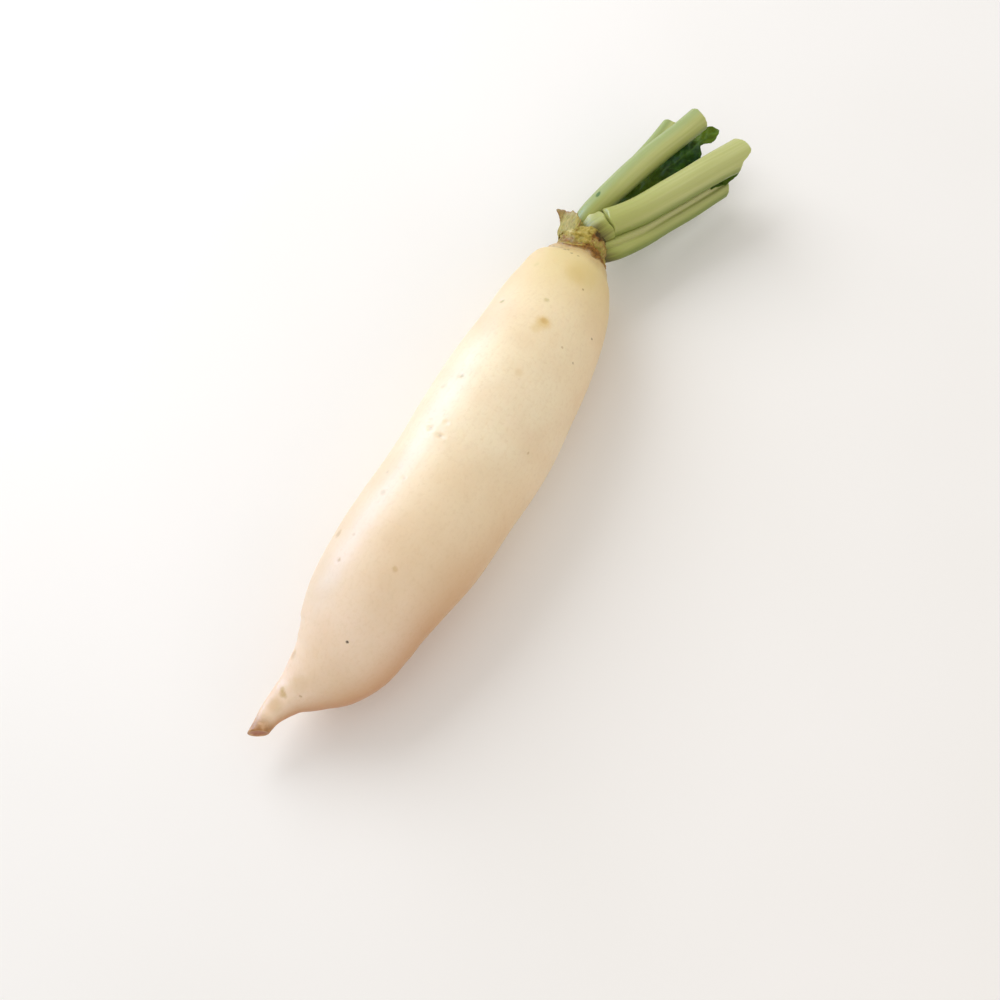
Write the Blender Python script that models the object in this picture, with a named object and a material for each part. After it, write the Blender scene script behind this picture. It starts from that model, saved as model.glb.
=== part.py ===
"""A daikon radish lying on its side, as picked and trimmed.

One long white taproot with a short cut tail and a ringed crown neck. Four cut leaf stalks,
a young leaf, a scrap of leaf blade and two dry leaf bases stand on the crown, each a
separate solid that stops just short of its neighbours.

Lengths here are in millimetres. X runs from the cut tail, at 0, to the leaves, Y is
sideways and Z is up, with the surface that the radish lies on at 0. The last step moves
the whole radish so that the middle of its footprint is the origin.
"""

import math

import bmesh
import bpy
import numpy as np

MM = 0.001
GAP = 0.35  # between neighbours that touch on the real thing

# The root's sections: distance from the tail, sideways, height of the underside, radius.
ROOT_SECTIONS = [
    (1.4, 12.2, 16.7, 4.5),
    (10.0, 12.4, 15.9, 5.4),
    (20.0, 9.8, 13.6, 8.4),
    (31.0, 5.4, 8.2, 14.4),
    (42.0, 1.2, 3.4, 20.6),
    (53.0, -1.0, 1.2, 25.0),
    (64.0, -0.8, 0.2, 27.9),
    (75.0, -0.2, 0.0, 29.9),
    (95.0, -0.8, 0.0, 32.2),
    (117.0, -2.1, 0.0, 33.3),
    (142.0, -2.6, 0.0, 33.3),
    (172.0, -2.1, 0.0, 34.2),
    (200.0, 0.2, 0.0, 33.0),
    (225.0, 2.2, 0.0, 31.0),
    (250.0, 5.4, 0.0, 28.0),
    (264.0, 6.8, 1.8, 25.2),
    (274.0, 7.4, 5.2, 21.8),
    (281.0, 8.2, 9.8, 17.8),
    (285.0, 9.2, 12.9, 15.3),
]
# The neck's sections, in the same terms: a crease, then swollen rings of old leaf scars.
NECK_SECTIONS = [
    (287.5, 9.9, 14.6, 13.9),
    (290.0, 10.4, 14.2, 14.4),
    (293.0, 10.9, 14.8, 13.8),
    (296.5, 11.6, 15.4, 13.5),
    (300.0, 12.2, 16.2, 12.9),
]
BELLY_FLAT = 0.4  # how far the underside is pressed flat where it lies
NECK_RINGS = 12  # rings from the shoulder to the crown, where the leaves are trimmed
TAIL_CUT_LEFT = math.radians(25)  # how far the tail's cut is turned from square to the left
TAIL_CUT_UP = math.radians(15)  # and upwards
ROOT_SIDES = 32
RING_SPACING = 6.0  # the farthest that two neighbouring rings stand apart

# Stalk centrelines: distance from the tail, sideways, height, width, thickness.
UPPER_STALK = [
    (294.0, 15.6, 29.0, 10.6, 10.0),
    (307.0, 17.6, 30.0, 10.8, 10.2),
    (318.0, 15.6, 30.6, 12.0, 11.4),
    (332.0, 12.2, 31.6, 12.8, 12.2),
    (346.0, 8.6, 32.6, 13.0, 12.4),
    (359.0, 4.6, 33.5, 12.8, 12.2),
    (372.0, 0.2, 34.0, 12.6, 12.0),
    (384.5, -3.6, 34.4, 12.6, 12.0),
]
BACK_STALK = [
    (293.0, 17.0, 23.5, 8.0, 8.0),
    (305.0, 21.0, 21.8, 8.6, 8.2),
    (316.0, 20.8, 20.6, 9.6, 9.0),
    (335.0, 17.2, 19.6, 10.6, 9.6),
    (354.0, 13.4, 19.4, 11.0, 9.8),
    (368.0, 11.6, 19.6, 10.4, 9.4),
    (383.0, 10.4, 20.0, 10.0, 9.0),
]
MIDDLE_BASE = [
    (294.0, 11.3, 31.2, 15.8, 14.2),
    (300.0, 8.6, 33.2, 16.6, 15.8),
    (305.2, 5.7, 34.6, 16.6, 15.8),
]
MIDDLE_STALK = [
    (305.8, 5.4, 34.6, 16.2, 15.2),
    (312.0, 1.0, 34.7, 15.6, 15.0),
    (320.0, -4.0, 34.8, 15.2, 14.8),
    (337.0, -12.6, 35.4, 15.2, 14.8),
    (355.0, -21.5, 36.0, 15.6, 14.6),
    (375.0, -31.5, 36.4, 16.4, 13.8),
]
LOWER_STALK = [
    (289.5, 5.4, 29.0, 11.8, 10.8),
    (299.0, -1.9, 28.1, 13.2, 12.4),
    (312.0, -8.8, 26.4, 13.8, 12.4),
    (329.0, -15.0, 23.0, 13.6, 11.8),
    (346.0, -21.8, 20.8, 13.4, 11.4),
    (366.8, -29.9, 18.7, 13.0, 10.8),
]
STALK_SIDES = 18
CUT_RIM = 0.8  # radius that a cleanly cut end's rim is softened to
WORN_RIM = 4.2  # the same on the middle stalk, whose cut end has rounded as it dried
MIDDLE_CUT_SLANT = math.radians(36)
LOWER_CUT_SLANT = math.radians(20)
LOWER_CHANNEL = 0.55  # depth of the channel along its top, as a share of half its thickness

# Leaf blades: distance from the tail, sideways, height, blade to the left, blade to the right.
YOUNG_LEAF = [
    (303.5, 12.8, 24.8, 1.6, 1.6),
    (314.0, 11.3, 23.6, 2.4, 2.8),
    (326.0, 9.0, 22.6, 3.0, 5.4),
    (338.0, 5.6, 21.8, 3.9, 7.4),
    (350.0, 2.0, 21.2, 4.4, 9.0),
    (361.0, -1.6, 20.9, 4.9, 9.0),
    (371.0, -4.9, 20.6, 5.0, 8.8),
    (375.5, -6.2, 20.5, 4.6, 6.2),
    (380.0, -7.1, 20.4, 4.2, 2.2),
    (385.0, -8.6, 20.2, 4.5, 3.6),
    (389.5, -9.9, 20.1, 4.0, 3.4),
    (393.0, -11.3, 20.0, 2.0, 1.8),
]
LEAF_SCRAP = [
    (356.0, -25.7, 25.6, 1.0, 1.0),
    (361.0, -28.3, 26.1, 2.2, 2.5),
    (365.5, -30.6, 26.4, 2.8, 2.7),
    (370.6, -33.2, 26.7, 2.2, 1.8),
]
BLADE_THICKNESS = 1.0
BLADE_RUFFLE = 1.0  # how far a blade's margins wave up and down
RUFFLE_ALONG = 1.9  # how far the wave turns, in radians, from one row of a blade to the next
RUFFLE_ACROSS = 2.4  # the same from the midrib to the margin

# Dry leaf bases round the neck. They run from start to end along X and between two angles,
# measured from the left side, at 0, over the top, at 90. Each has a tip that bends outwards.
HUSK = {"start": 290.5, "end": 300.4, "from": -36, "to": 66, "tip_at": 14, "tip_out": 6.0}
SCALE = {"start": 288.6, "end": 293.4, "from": 108, "to": 158, "tip_at": 132, "tip_out": 1.0}
TIP_SPREAD = 16.0
SCALE_THICKNESS = 0.9


def clear_objects():
    for thing in list(bpy.data.objects):
        bpy.data.objects.remove(thing)


def finish_material(name, hex_colour, roughness):
    """A matt or waxy plant surface of one colour."""
    material = bpy.data.materials.new(name)
    material.use_nodes = True
    shader = material.node_tree.nodes["Principled BSDF"]
    channels = [int(hex_colour[i : i + 2], 16) / 255 for i in (0, 2, 4)]
    linear = [c / 12.92 if c <= 0.04045 else ((c + 0.055) / 1.055) ** 2.4 for c in channels]
    shader.inputs["Base Color"].default_value = (*linear, 1.0)
    shader.inputs["Roughness"].default_value = roughness
    shader.inputs["Metallic"].default_value = 0.0
    return material


def curve_through(rows):
    """Closely spaced rows on the smooth curve through the given ones."""
    rows = np.array(rows, float)
    steps = np.linalg.norm(np.diff(rows[:, :3], axis=0), axis=1)
    at = np.concatenate([[0.0], np.cumsum(steps)])
    slopes = np.gradient(rows, at, axis=0)
    wanted = [0.0]
    for start, step in zip(at, steps):
        parts = math.ceil(step / RING_SPACING)
        wanted += [start + step * (i + 1) / parts for i in range(parts)]
    wanted = np.array(wanted)
    k = np.clip(np.searchsorted(at, wanted, side="right") - 1, 0, len(at) - 2)
    span = (at[k + 1] - at[k])[:, None]
    u = (wanted - at[k])[:, None] / span
    return (
        rows[k] * (1 + 2 * u) * (1 - u) ** 2
        + rows[k + 1] * u * u * (3 - 2 * u)
        + slopes[k] * span * u * (1 - u) ** 2
        - slopes[k + 1] * span * u * u * (1 - u)
    )


def frames_along(centres):
    """Each centre's direction along the curve, to its left and upwards."""
    along = np.gradient(centres, axis=0)
    along /= np.linalg.norm(along, axis=1)[:, None]
    left = np.cross([0.0, 0.0, 1.0], along)
    left /= np.linalg.norm(left, axis=1)[:, None]
    return along, left, np.cross(along, left)


def add_object(name, bm, material):
    mesh = bpy.data.meshes.new(name)
    bm.to_mesh(mesh)
    bm.free()
    mesh.shade_smooth()
    mesh.set_sharp_from_angle(angle=math.radians(40))
    mesh.materials.append(material)
    thing = bpy.data.objects.new(name, mesh)
    bpy.context.scene.collection.objects.link(thing)
    return thing


def loft(name, rings, material):
    """A closed solid through rings of points, each running anticlockwise about the way along."""
    bm = bmesh.new()
    loops = [[bm.verts.new(point * MM) for point in ring] for ring in rings]
    for near, far in zip(loops, loops[1:]):
        for i in range(len(near)):
            j = (i + 1) % len(near)
            bm.faces.new((near[i], near[j], far[j], far[i]))
    bm.faces.new(reversed(loops[0]))
    bm.faces.new(loops[-1])
    return add_object(name, bm, material)


def root_rings(extra=0.0):
    """Round rings from tail to crown, pressed flat on the floor, `extra` larger all round."""
    sections = ROOT_SECTIONS + NECK_SECTIONS
    rows = curve_through([(x, y, under + r, r) for x, y, under, r in sections])
    centres, radii = rows[:, :3].copy(), rows[:, 3] + extra
    centres[:, 2] -= BELLY_FLAT
    along, left, up = frames_along(centres)
    turns = [2 * math.pi * (i + 0.5) / ROOT_SIDES for i in range(ROOT_SIDES)]
    rings = []
    for k in range(len(rows)):
        ring = [
            centres[k] + radii[k] * (math.cos(t) * left[k] + math.sin(t) * up[k]) for t in turns
        ]
        rings.append([np.array((p[0], p[1], max(p[2], -extra))) for p in ring])
    return rings, (along[0], left[0], up[0])


def make_taproot(material):
    rings, (along, left, up) = root_rings()
    middle = np.mean(rings[0], axis=0)
    slant = math.tan(TAIL_CUT_LEFT) * left - math.tan(TAIL_CUT_UP) * up
    rings[0] = [p - along * ((p - middle) @ slant) for p in rings[0]]
    return loft("taproot", rings, material)


def stalk_rings(rows, channel=0.0, slant=0.0, rim=CUT_RIM, extra=0.0):
    """Oval rings along a stalk, with a channel in its top and a slanting, softened cut end."""
    samples = curve_through(rows)
    along, left, up = frames_along(samples[:, :3])
    rings = []
    for k, (x, y, z, width, thickness) in enumerate(samples):
        ring = []
        for i in range(STALK_SIDES):
            turn = 2 * math.pi * i / STALK_SIDES
            dip = 1.0 - channel * max(0.0, math.sin(turn)) ** 4
            across = (width / 2 + extra) * math.cos(turn)
            high = (thickness / 2 * dip + extra) * math.sin(turn)
            ring.append(np.array((x, y, z)) + across * left[k] + high * up[k])
        rings.append(ring)
    end, middle = rings[-1], np.mean(rings[-1], axis=0)
    end = [p + along[-1] * math.tan(slant) * ((p - middle) @ left[-1]) for p in end]
    rings[-1] = end
    for turn in (math.radians(45), math.radians(90)):
        inset = rim * (1 - math.cos(turn)) / (samples[-1][3] / 2)
        rings.append([p + (middle - p) * inset + along[-1] * rim * math.sin(turn) for p in end])
    return rings


def cutter(name, rings, material):
    """A guide solid, larger than a piece by the gap, that its neighbours are trimmed with."""
    guide = loft(name, rings, material)
    guide.hide_render = True
    guide.display_type = "WIRE"
    return guide


def trim(piece, cutters):
    for guide in cutters:
        cut = piece.modifiers.new("trim_" + guide.name, "BOOLEAN")
        cut.operation = "DIFFERENCE"
        cut.solver = "EXACT"
        cut.object = guide


def make_blade(name, rows, material, across=6):
    """A leaf blade: a waved sheet along its midrib, given its thickness by Solidify."""
    samples = curve_through(rows)
    along, left, up = frames_along(samples[:, :3])
    bm = bmesh.new()
    grid = []
    for k, (x, y, z, to_left, to_right) in enumerate(samples):
        line = []
        for j in range(across + 1):
            side = 2.0 * j / across - 1.0
            reach = side * (to_left if side > 0 else to_right)
            wave = BLADE_RUFFLE * side * side * math.sin(RUFFLE_ALONG * k + RUFFLE_ACROSS * side)
            point = np.array((x, y, z)) + reach * left[k] + wave * up[k]
            line.append(bm.verts.new(point * MM))
        grid.append(line)
    for near, far in zip(grid, grid[1:]):
        for j in range(across):
            bm.faces.new((near[j], far[j], far[j + 1], near[j + 1]))
    blade = add_object(name, bm, material)
    thicken = blade.modifiers.new("thickness", "SOLIDIFY")
    thicken.thickness = BLADE_THICKNESS * MM
    thicken.offset = 0.0
    return blade


def neck_at(x):
    """The neck's centre and radius at a distance from the tail."""
    sections = np.array(ROOT_SECTIONS[-2:] + NECK_SECTIONS)
    y, under, r = (np.interp(x, sections[:, 0], sections[:, i]) for i in (1, 2, 3))
    return np.array((x, y, under + r - BELLY_FLAT)), r


def make_neck_scale(name, form, material, along_count=5, round_count=11):
    """A dry leaf base that hugs the neck and bends away from it at its tip."""
    bm = bmesh.new()
    grid = []
    for k in range(along_count):
        u = k / (along_count - 1)
        x = form["start"] + (form["end"] - form["start"]) * u
        centre, radius = neck_at(x)
        line = []
        for j in range(round_count):
            turn = form["from"] + (form["to"] - form["from"]) * j / (round_count - 1)
            tip = math.exp(-(((turn - form["tip_at"]) / TIP_SPREAD) ** 2))
            off = radius + GAP + SCALE_THICKNESS / 2 + form["tip_out"] * tip * u * u
            angle = math.radians(turn)
            point = np.array((x, centre[1] + off * math.cos(angle), centre[2] + off * math.sin(angle)))
            line.append(bm.verts.new(point * MM))
        grid.append(line)
    for near, far in zip(grid, grid[1:]):
        for j in range(round_count - 1):
            bm.faces.new((near[j], near[j + 1], far[j + 1], far[j]))
    scale = add_object(name, bm, material)
    thicken = scale.modifiers.new("thickness", "SOLIDIFY")
    thicken.thickness = SCALE_THICKNESS * MM
    thicken.offset = 0.0
    return scale


def centre_on_floor(pieces):
    """Moves everything so that the middle of the pieces' box, seen from above, is the origin."""
    bpy.context.view_layer.update()
    view = bpy.context.evaluated_depsgraph_get()
    corners = []
    for piece in pieces:
        mesh = piece.evaluated_get(view).to_mesh()
        corners += [tuple(v.co) for v in mesh.vertices]
    corners = np.array(corners)
    middle = (corners.min(axis=0) + corners.max(axis=0)) / 2
    for thing in bpy.data.objects:
        thing.location.x -= middle[0]
        thing.location.y -= middle[1]


def build():
    clear_objects()
    root_skin = finish_material("root_skin", "F1E2C6", 0.35)
    stalk_skin = finish_material("stalk_skin", "AFB873", 0.4)
    leaf_blade = finish_material("leaf_blade", "2F4E17", 0.5)
    dry_husk = finish_material("dry_husk", "A08A4E", 0.7)

    taproot = make_taproot(root_skin)
    grown, _ = root_rings(GAP)
    room = {"neck": cutter("room_for_neck", grown[-NECK_RINGS:], root_skin)}

    pieces = [taproot]
    stalks = (
        ("leaf_base_middle", MIDDLE_BASE, {}, ["neck"]),
        (
            "leaf_stalk_middle",
            MIDDLE_STALK,
            {"slant": MIDDLE_CUT_SLANT, "rim": WORN_RIM},
            ["neck", "leaf_base_middle"],
        ),
        ("leaf_stalk_upper", UPPER_STALK, {}, ["neck", "leaf_base_middle"]),
        (
            "leaf_stalk_lower",
            LOWER_STALK,
            {"channel": LOWER_CHANNEL, "slant": LOWER_CUT_SLANT},
            ["neck", "leaf_base_middle", "leaf_stalk_middle"],
        ),
        ("leaf_stalk_back", BACK_STALK, {}, ["neck", "leaf_stalk_upper"]),
    )
    for name, rows, form, neighbours in stalks:
        piece = loft(name, stalk_rings(rows, **form), stalk_skin)
        trim(piece, [room[neighbour] for neighbour in neighbours])
        room[name] = cutter("room_for_" + name, stalk_rings(rows, extra=GAP, **form), stalk_skin)
        pieces.append(piece)

    thin_pieces = [
        make_blade("young_leaf", YOUNG_LEAF, leaf_blade),
        make_blade("leaf_scrap", LEAF_SCRAP, leaf_blade),
        make_neck_scale("crown_husk", HUSK, dry_husk),
        make_neck_scale("crown_scale", SCALE, dry_husk),
    ]
    for piece in thin_pieces:
        trim(piece, room.values())
    pieces += thin_pieces
    centre_on_floor(pieces)


build()
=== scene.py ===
"""A daikon radish, as picked and trimmed, lying on its side on a pale table.

The pieces come in the order in which the plant carries them: the root with its crown,
the dry leaf bases round the crown, the cut leaf stalks, and the young leaf between them.
Lengths are in millimetres until a mesh is made, and run from the cut tail to the leaves.
"""

import math

import bpy
import numpy as np
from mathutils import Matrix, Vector, noise


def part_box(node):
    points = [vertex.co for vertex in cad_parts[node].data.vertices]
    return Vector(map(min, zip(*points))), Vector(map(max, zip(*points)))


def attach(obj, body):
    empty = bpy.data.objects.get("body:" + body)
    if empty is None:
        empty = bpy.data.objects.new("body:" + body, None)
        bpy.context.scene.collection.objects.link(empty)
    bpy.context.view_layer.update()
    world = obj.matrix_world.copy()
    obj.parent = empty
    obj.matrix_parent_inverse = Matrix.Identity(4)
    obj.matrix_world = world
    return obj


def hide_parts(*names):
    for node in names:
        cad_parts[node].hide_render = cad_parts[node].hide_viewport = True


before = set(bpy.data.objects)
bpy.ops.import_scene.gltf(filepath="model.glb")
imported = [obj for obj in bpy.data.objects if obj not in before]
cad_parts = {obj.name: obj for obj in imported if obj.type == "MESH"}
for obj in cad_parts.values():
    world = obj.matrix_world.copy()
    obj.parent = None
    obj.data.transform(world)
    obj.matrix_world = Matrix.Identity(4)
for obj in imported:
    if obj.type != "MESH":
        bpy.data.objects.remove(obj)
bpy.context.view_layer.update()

# ---- Root
# The swollen white taproot, in one piece from its cut tail to the ringed crown that the
# leaves grew from. Its skin is thin, smooth and waxy, and the flesh just under it lets
# some light through. It was pulled from the soil and washed.

MM = 0.001

# Distance from the tail, sideways, height of the underside, radius.
ROOT_SECTIONS = [
    (1.4, 12.2, 16.7, 4.5),
    (10, 12.4, 15.9, 5.4),
    (20, 9.8, 13.6, 8.4),
    (31, 5.4, 8.2, 14.4),
    (42, 1.2, 3.4, 20.6),
    (53, -1, 1.2, 25),
    (64, -0.8, 0.2, 27.9),
    (75, -0.2, 0, 29.9),
    (95, -0.8, 0, 32.2),
    (117, -2.1, 0, 33.3),
    (142, -2.6, 0, 33.3),
    (172, -2.1, 0, 34.2),
    (200, 0.2, 0, 33),
    (225, 2.2, 0, 31),
    (250, 5.4, 0, 28),
    (264, 6.8, 1.8, 25.2),
    (274, 7.4, 5.2, 21.8),
    (281, 8.2, 9.8, 17.8),
    (285, 9.2, 12.9, 15.3),
    (287.5, 9.9, 14.6, 13.9),
    (290, 10.4, 14.2, 14.4),
    (293, 10.9, 14.8, 13.8),
    (296.5, 11.6, 15.4, 13.5),
    (300, 12.2, 16.2, 12.9),
]
# How far the belly is pressed flat where the root rests.
BELLY_FLAT = 0.4
# The tail's cut face is turned up a little, its left side reaches further, and its middle
# stands past the first section.
TAIL_CUT_LEFT = math.tan(math.radians(31))
TAIL_CUT_UP = math.tan(math.radians(3))
TAIL_LONGER = 1.2
TAIL_CUT_REACH = 3.0
# The mesh is closer where the crown is rough.
ROOT_SIDES = 216
BODY_SPACING = 0.95
CROWN_SPACING = 0.36
CROWN_FROM = 276.0


def curve_through(rows, wanted_gaps):
    """Rows on the smooth curve through the given ones, as close as wanted_gaps says for each."""
    rows = np.array(rows, float)
    steps = np.linalg.norm(np.diff(rows[:, :3], axis=0), axis=1)
    at = np.concatenate([[0.0], np.cumsum(steps)])
    slopes = np.gradient(rows, at, axis=0)
    wanted = [0.0]
    for start, step, gap in zip(at, steps, wanted_gaps):
        parts = math.ceil(step / gap)
        wanted += [start + step * (i + 1) / parts for i in range(parts)]
    wanted = np.array(wanted)
    k = np.clip(np.searchsorted(at, wanted, side="right") - 1, 0, len(at) - 2)
    span = (at[k + 1] - at[k])[:, None]
    u = (wanted - at[k])[:, None] / span
    return (
        rows[k] * (1 + 2 * u) * (1 - u) ** 2
        + rows[k + 1] * u * u * (3 - 2 * u)
        + slopes[k] * span * u * (1 - u) ** 2
        - slopes[k + 1] * span * u * u * (1 - u)
    )


def frames_along(centres):
    """The direction of the curve at each centre, and the ones to its left and upwards."""
    along = np.gradient(centres, axis=0)
    along /= np.linalg.norm(along, axis=1)[:, None]
    left = np.cross([0.0, 0.0, 1.0], along)
    left /= np.linalg.norm(left, axis=1)[:, None]
    return along, left, np.cross(along, left)


def rough(points, size, seed=0.0):
    """Smooth noise from about -1 to 1 at each point, with features of a size in millimetres."""
    flat = points.reshape(-1, 3) / np.array(size) + seed
    return np.array([noise.noise(p) for p in flat.tolist()]).reshape(points.shape[:-1])


def smooth_step(low, high, value):
    u = np.clip((value - low) / (high - low), 0.0, 1.0)
    return u * u * (3 - 2 * u)


def hump(away, half_width):
    """From 1 where away is nothing, smoothly down to 0 on both sides."""
    return np.exp(-((away / half_width) ** 2))


def turned_from(turns, around):
    """Degrees round the piece from one place on it, from -180 to 180."""
    return (turns - around + 540) % 360 - 180


def new_piece(name, points, faces, measures):
    """An object with this surface, and measures at its points for the material to read."""
    mesh = bpy.data.meshes.new(name)
    mesh.from_pydata((points * MM).tolist(), [], faces)
    mesh.shade_smooth()
    for key, values in measures.items():
        kind, part = ("FLOAT_VECTOR", "vector") if values.shape[1] == 3 else ("FLOAT", "value")
        mesh.attributes.new(key, kind, "POINT").data.foreach_set(part, values.ravel())
    thing = bpy.data.objects.new(name, mesh)
    bpy.context.scene.collection.objects.link(thing)
    return thing


def closed_skin(name, rings, measures):
    """A piece with its surface through rings of points, closed to a point at both ends."""
    count, sides = rings.shape[:2]
    ends = [rings[0].mean(axis=0), rings[-1].mean(axis=0)]
    points = np.concatenate([rings.reshape(-1, 3), ends])
    i = np.arange(sides)
    j = (i + 1) % sides
    near = np.arange(count - 1)[:, None] * sides
    quads = np.stack([near + i, near + j, near + sides + j, near + sides + i], axis=2)
    last = (count - 1) * sides
    fans = [(count * sides, b, a) for a, b in zip(i, j)]
    fans += [(count * sides + 1, last + a, last + b) for a, b in zip(i, j)]
    at_points = {}
    for key, values in measures.items():
        flat = values.reshape(count * sides, -1)
        at_points[key] = np.concatenate([flat, flat[:1], flat[-1:]])
    return new_piece(name, points, quads.reshape(-1, 4).tolist() + fans, at_points)


gaps = [CROWN_SPACING if row[0] >= CROWN_FROM else BODY_SPACING for row in ROOT_SECTIONS]
core = curve_through([(x, y, under + r, r) for x, y, under, r in ROOT_SECTIONS], gaps)
core[:, 2] -= BELLY_FLAT
along, left, up = frames_along(core[:, :3])
turn = -math.pi / 2 + 2 * math.pi * np.arange(ROOT_SIDES) / ROOT_SIDES
outward = np.cos(turn)[:, None] * left[:, None] + np.sin(turn)[:, None] * up[:, None]
station = np.repeat(core[:, :1], ROOT_SIDES, axis=1)
degrees = np.repeat(np.degrees(turn)[None], len(core), axis=0)
radius = core[:, 3][:, None]
plain = core[:, None, :3] + radius[:, :, None] * outward

# Broad swellings and a slightly uneven surface: height, size, seed.
SWELLINGS = [(0.5, 48, 3.1), (0.16, 15, 9.7), (0.025, 2.6, 7.9)]
relief = sum(height * rough(plain, size, seed) for height, size, seed in SWELLINGS)

# Faint wrinkles run round the skin, deeper towards the tail and on the shoulder.
WRINKLE_DEPTH = 0.05
TAIL_WRINKLE_DEPTH = 0.16
SHOULDER_WRINKLE_DEPTH = 0.10
TAIL_LUMPS = 0.5
tail_end = smooth_step(46, 8, station)
shoulder = smooth_step(255, 284, station) * smooth_step(289, 285, station)
wrinkle = rough(plain * [1, 0.06, 0.06], 2.1, 5.5) * smooth_step(-0.1, 0.6, rough(plain, 26, 2.2))
relief += wrinkle * (
    WRINKLE_DEPTH + TAIL_WRINKLE_DEPTH * tail_end + SHOULDER_WRINKLE_DEPTH * shoulder
)
relief += TAIL_LUMPS * tail_end * rough(plain, [9, 5, 5], 1.3)

# Where the root is fuller or slimmer than round: turn, half width in degrees, height, and
# the stations where it starts, is whole, starts to fade and has gone.
FULLNESS = [
    (30, 40, 2.3, 262, 280, 286, 289.2),
    (190, 35, 1, 85, 115, 250, 272),
    (186, 34, -3.2, 265, 285, 310, 320),
]
for around, half, height, starts, whole, fades, gone in FULLNESS:
    stretch = smooth_step(starts, whole, station) * smooth_step(gone, fades, station)
    relief += height * hump(turned_from(degrees, around), half) * stretch

# Scars where side roots broke off: station, turn, length along, length round, depth.
ROOT_SCARS = [
    (155.2, 59.5, 1.3, 2, 0.75),
    (153.2, 72.4, 0.9, 2.4, 0.8),
    (160.2, 70.6, 0.9, 1.5, 0.55),
    (158.8, 55.5, 1.2, 1.4, 0.6),
    (162.4, 61, 0.7, 1, 0.35),
    (184.2, 59.2, 1.1, 1.7, 0.55),
    (177.9, 47.1, 1, 1.2, 0.45),
    (232.8, 48.1, 1.4, 1.6, 0.45),
    (126.4, 45.1, 0.8, 1.4, 0.45),
    (116.3, 57.4, 1.4, 1.5, 0.5),
    (125.6, 66.1, 0.9, 1.2, 0.4),
    (92.2, 35, 1.8, 1.6, 0.55),
    (94.1, 57, 0.8, 0.9, 0.35),
    (82, 56, 1, 1.2, 0.35),
    (33.3, 40.6, 2, 1.6, 0.5),
    (20.4, 84, 1.2, 2.6, 0.3),
    (24.7, 121, 0.8, 0.9, 0.25),
    (54.6, 102, 0.5, 0.7, 0.4),
    (225.1, 98.3, 1.6, 1.6, 0.25),
    (236.9, 91, 0.8, 1, 0.25),
    (70, 232, 1.2, 2.4, 0.55),
    (104, 246, 1, 2, 0.45),
    (138, 238, 1.1, 2.6, 0.6),
    (171, 222, 0.9, 1.8, 0.4),
    (206, 236, 1.1, 2.2, 0.5),
    (243, 228, 0.9, 1.6, 0.4),
    (44, 214, 1.2, 1.8, 0.5),
    (118, -22, 1, 1.8, 0.45),
    (196, -14, 1, 2, 0.5),
    (62, -8, 1, 1.6, 0.45),
]
# Each dent has a low rim round it: its height, how far out it is and how wide, as shares
# of the dent's own depth and size.
RIM_HEIGHT, RIM_OUT, RIM_WIDE = 0.25, 1.7, 0.577
for at, around, long, wide, deep in ROOT_SCARS:
    round_away = np.radians(turned_from(degrees, around)) * radius / wide
    away = np.hypot((station - at) / long, round_away)
    relief += deep * (RIM_HEIGHT * hump(away - RIM_OUT, RIM_WIDE) - hump(away, 1))

# The crown starts at a crease, beyond which the skin is folded and torn round the scars of
# the oldest leaves. The folds run round it low down, and its fibres run along it higher up.
# Turn and station of the crease.
CREASE = [
    (-150, 286.5), (-60, 288.4), (12, 288.4), (40, 286.4), (58, 284.8),
    (77, 283.8), (92, 284.4), (106, 284.2), (124, 282.4), (140, 282.6),
    (158, 282), (176, 280.6), (196, 281.5), (216, 286),
]
CREASE_DEPTH = 1.0
CREASE_HALF_WIDTH = 0.8
crease_at = np.interp(degrees, *np.array(CREASE).T, period=360)
crease_at += 0.7 * rough(plain, [1e6, 5, 5], 4.4)
past_crease = station - crease_at
crown = smooth_step(-0.5, 1.0, past_crease)
low_crown = smooth_step(10.0, 5.0, past_crease)
ringwise = np.stack([past_crease, plain[:, :, 1], plain[:, :, 2]], axis=2)
in_crease = hump(past_crease, CREASE_HALF_WIDTH)
relief -= (CREASE_DEPTH + 1.2 * rough(ringwise, [1e6, 4, 4], 6.6)) * in_crease
folds = 1.3 * rough(ringwise, [1.6, 14, 14], 1.9) + 0.7 * rough(ringwise, [0.8, 6, 6], 8.1)
fibrous = 0.5 * rough(ringwise, [6, 1.6, 1.6], 3.8) + 0.3 * rough(ringwise, [3, 0.8, 0.8], 5.2)
crown_relief = low_crown * folds + (0.35 + 0.65 * (1 - low_crown)) * fibrous
crown_relief += 0.45 * rough(plain, 3.2, 2.9) + 0.2 * rough(plain, 0.9, 2.7)
relief += crown * crown_relief
hollow = crown * smooth_step(-0.1, -0.8, crown_relief)
# The neck is slimmer low down on its left, and below the upper stalks it falls away to
# their roots.
SLIM_LEFT = 1.1
STALK_HOLLOW = 5.0
slim = crown * hump(turned_from(degrees, 10), 32) * smooth_step(294, 290, station)
fallen = hump(turned_from(degrees, 78), 22) * smooth_step(294.5, 300, station)
relief -= SLIM_LEFT * slim + STALK_HOLLOW * fallen
creased_shoulder = smooth_step(-7.0, -1.0, past_crease) * (1 - crown)
creases = 0.5 * rough(ringwise, [1.6, 7, 7], 8.8) + 0.2 * rough(plain, 1.4, 4.1)
relief += creased_shoulder * creases

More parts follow.
